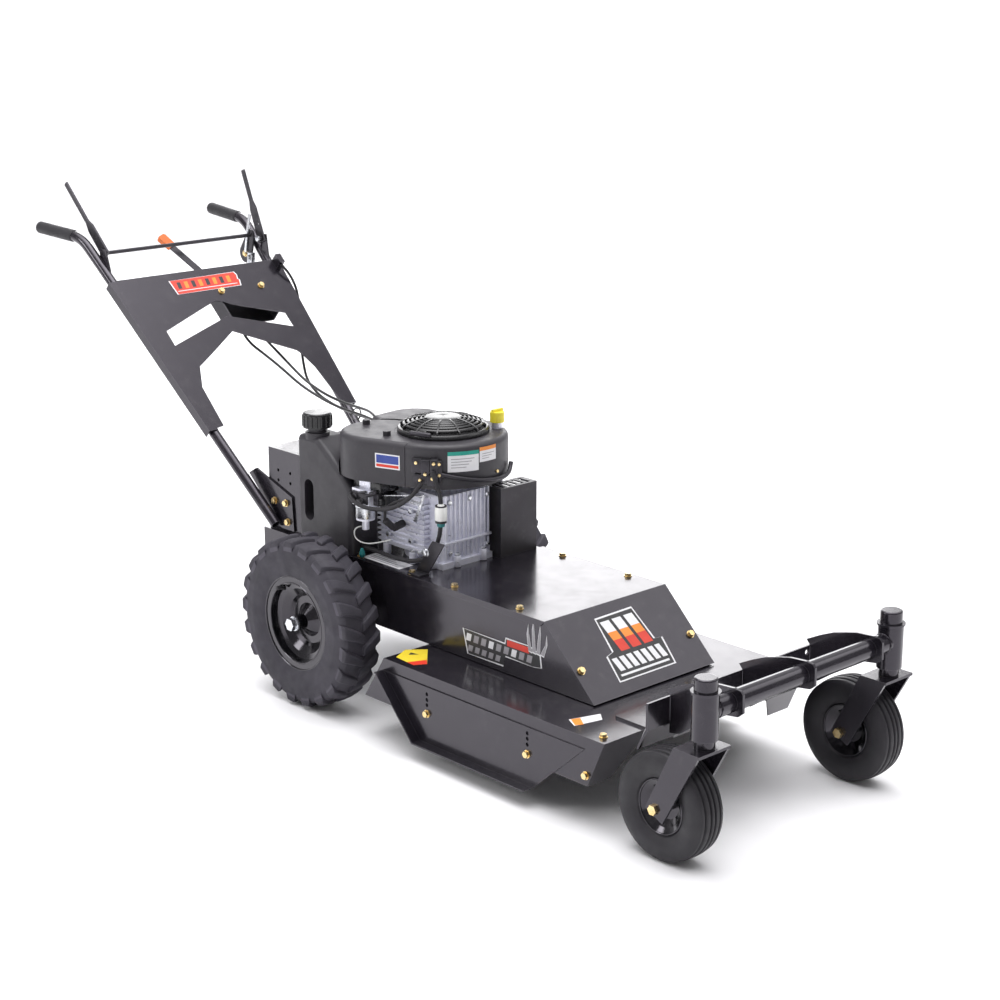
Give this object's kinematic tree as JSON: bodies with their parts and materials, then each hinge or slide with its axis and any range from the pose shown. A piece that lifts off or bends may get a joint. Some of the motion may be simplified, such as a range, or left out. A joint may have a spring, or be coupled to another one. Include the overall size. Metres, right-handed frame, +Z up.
{
  "type": "walk-behind brush mower",
  "caption": "Walk-behind brush mower: black steel deck with side skids, engine on a tunnel frame, lugged rear tyres, front caster carriage and handlebar.",
  "frame": {"origin": "on the ground under the middle of the machine's length and width", "axes": "+X forward along the direction of travel, +Y to the operator's left, +Z up"},
  "size_m": [2.3763, 0.6846, 1.1243],
  "materials": {
    "black_frame": "gloss powder coat",
    "black_satin": "satin",
    "yellow_zinc": "yellow zinc plated",
    "tyre_rubber": "matt",
    "grip_rubber": "matt",
    "bright_zinc": "zinc plated",
    "cast_alloy": "as cast",
    "cast_iron": "as cast",
    "shroud_plastic": "moulded, matt",
    "black_gloss_plastic": "moulded, gloss",
    "orange_plastic": "moulded",
    "yellow_plastic": "moulded",
    "cable_sleeve": "extruded",
    "belt_rubber": "fabric faced",
    "muffler_steel": "heat-resistant satin",
    "blade_steel": "ground"
  },
  "bodies": {
    "chassis": {"air_cleaner_cover": "shroud_plastic", "belt_cover": "black_frame", "blade_cable": "cable_sleeve", "blower_housing": "shroud_plastic", "carburettor": "cast_alloy", "caster_carriage": "black_frame", "control_box": "black_satin", "control_panel": "black_frame", "crankcase": "cast_alloy", "cylinder_head": "cast_alloy", "deck_bolts": "yellow_zinc", "deck_shell": "black_frame", "drive_belts": "belt_rubber", "drive_cable": "cable_sleeve", "frame_bolts": "yellow_zinc", "fuel_line": "grip_rubber", "fuel_tank": "shroud_plastic", "grips": "grip_rubber", "handle_brackets": "black_frame", "handle_tube_left": "black_frame", "handle_tube_right": "black_frame", "main_frame": "black_frame", "muffler": "muffler_steel", "muffler_guard": "muffler_steel", "rear_console": "black_frame", "recoil_cover": "black_gloss_plastic", "skid_plate_left": "black_frame", "skid_plate_right": "black_frame", "spindle_housing": "cast_iron", "throttle_cable": "cable_sleeve", "transaxle": "cast_alloy"},
    "rear_wheel_right": {"rear_tyre_right": "tyre_rubber", "rear_rim_right": "black_frame", "axle_shaft_right": "bright_zinc"},
    "rear_wheel_left": {"rear_tyre_left": "tyre_rubber", "rear_rim_left": "black_frame", "axle_shaft_left": "bright_zinc"},
    "caster_fork_right": {"caster_fork_right": "black_frame", "kingpin_right": "black_frame", "caster_axle_right": "yellow_zinc"},
    "caster_fork_left": {"caster_fork_left": "black_frame", "kingpin_left": "black_frame", "caster_axle_left": "yellow_zinc"},
    "caster_wheel_right": {"caster_tyre_right": "tyre_rubber", "caster_rim_right": "black_frame"},
    "caster_wheel_left": {"caster_tyre_left": "tyre_rubber", "caster_rim_left": "black_frame"},
    "crank": {"crankshaft": "bright_zinc", "flywheel": "cast_iron", "engine_pulley": "cast_iron"},
    "blade": {"blade_spindle": "bright_zinc", "blade_bar": "blade_steel"},
    "drive_lever": {"drive_lever": "black_satin", "cross_rod": "black_satin"},
    "blade_lever": {"blade_lever": "black_satin"},
    "idler_arm": {"idler_arm": "black_satin"},
    "shift_lever": {"shift_lever": "black_satin", "shift_knob": "orange_plastic"},
    "fuel_cap": {"fuel_cap": "black_gloss_plastic"},
    "oil_cap": {"oil_cap": "yellow_plastic"}
  },
  "joints": [
    {"name": "rear_wheel_right_turn", "type": "hinge", "parent": "chassis", "child": "rear_wheel_right", "pos_m": [-0.071, -0.28, 0.203], "axis": [0, 1, 0], "continuous": true},
    {"name": "caster_swivel_right", "type": "hinge", "parent": "chassis", "child": "caster_fork_right", "pos_m": [1.153, -0.288, 0.3], "axis": [0, 0, 1], "continuous": true},
    {"name": "caster_roll_right", "type": "hinge", "parent": "caster_fork_right", "child": "caster_wheel_right", "pos_m": [1.069, -0.288, 0.114], "axis": [0, 1, 0], "continuous": true},
    {"name": "rear_wheel_left_turn", "type": "hinge", "parent": "chassis", "child": "rear_wheel_left", "pos_m": [-0.071, 0.28, 0.203], "axis": [0, 1, 0], "continuous": true},
    {"name": "caster_swivel_left", "type": "hinge", "parent": "chassis", "child": "caster_fork_left", "pos_m": [1.153, 0.288, 0.3], "axis": [0, 0, 1], "continuous": true},
    {"name": "caster_roll_left", "type": "hinge", "parent": "caster_fork_left", "child": "caster_wheel_left", "pos_m": [1.069, 0.288, 0.114], "axis": [0, 1, 0], "continuous": true},
    {"name": "crank_spin", "type": "hinge", "parent": "chassis", "child": "crank", "pos_m": [0.085, 0, 0.45], "axis": [0, 0, 1], "continuous": true},
    {"name": "blade_spin", "type": "hinge", "parent": "chassis", "child": "blade", "pos_m": [0.549, 0, 0.2], "axis": [0, 0, 1], "continuous": true},
    {"name": "drive_lever_squeeze", "type": "hinge", "parent": "chassis", "child": "drive_lever", "pos_m": [-0.942, 0, 0.953], "axis": [0, 1, 0], "range_deg": [-27, 0], "stiffness_Nm_per_rad": 1.5, "springref_deg": 17.19},
    {"name": "blade_lever_squeeze", "type": "hinge", "parent": "chassis", "child": "blade_lever", "pos_m": [-0.909, 0.233, 0.947], "axis": [0, 1, 0], "range_deg": [-50, 0], "stiffness_Nm_per_rad": 1.2, "springref_deg": 17.19},
    {"name": "idler_swing", "type": "hinge", "parent": "chassis", "child": "idler_arm", "pos_m": [0.399, -0.11, 0.3], "axis": [0, 0, 1], "range_deg": [-18, 0]},
    {"name": "gear_select", "type": "hinge", "parent": "chassis", "child": "shift_lever", "pos_m": [-0.84003, 0.062, 0.81948], "axis": [0.667, 0, 0.7451], "range_deg": [-12, 12]},
    {"name": "fuel_cap_turn", "type": "hinge", "parent": "chassis", "child": "fuel_cap", "pos_m": [-0.186, -0.155, 0.64], "axis": [0, 0, 1], "range_deg": [0, 90]},
    {"name": "oil_cap_turn", "type": "hinge", "parent": "chassis", "child": "oil_cap", "pos_m": [0.151, 0.108, 0.66], "axis": [0, 0, 1], "range_deg": [0, 90]}
  ],
  "couplings": [
    {"joint": "blade_spin", "follows": "crank_spin", "ratio": 0.8},
    {"joint": "idler_swing", "follows": "blade_lever_squeeze", "ratio": 0.36}
  ]
}
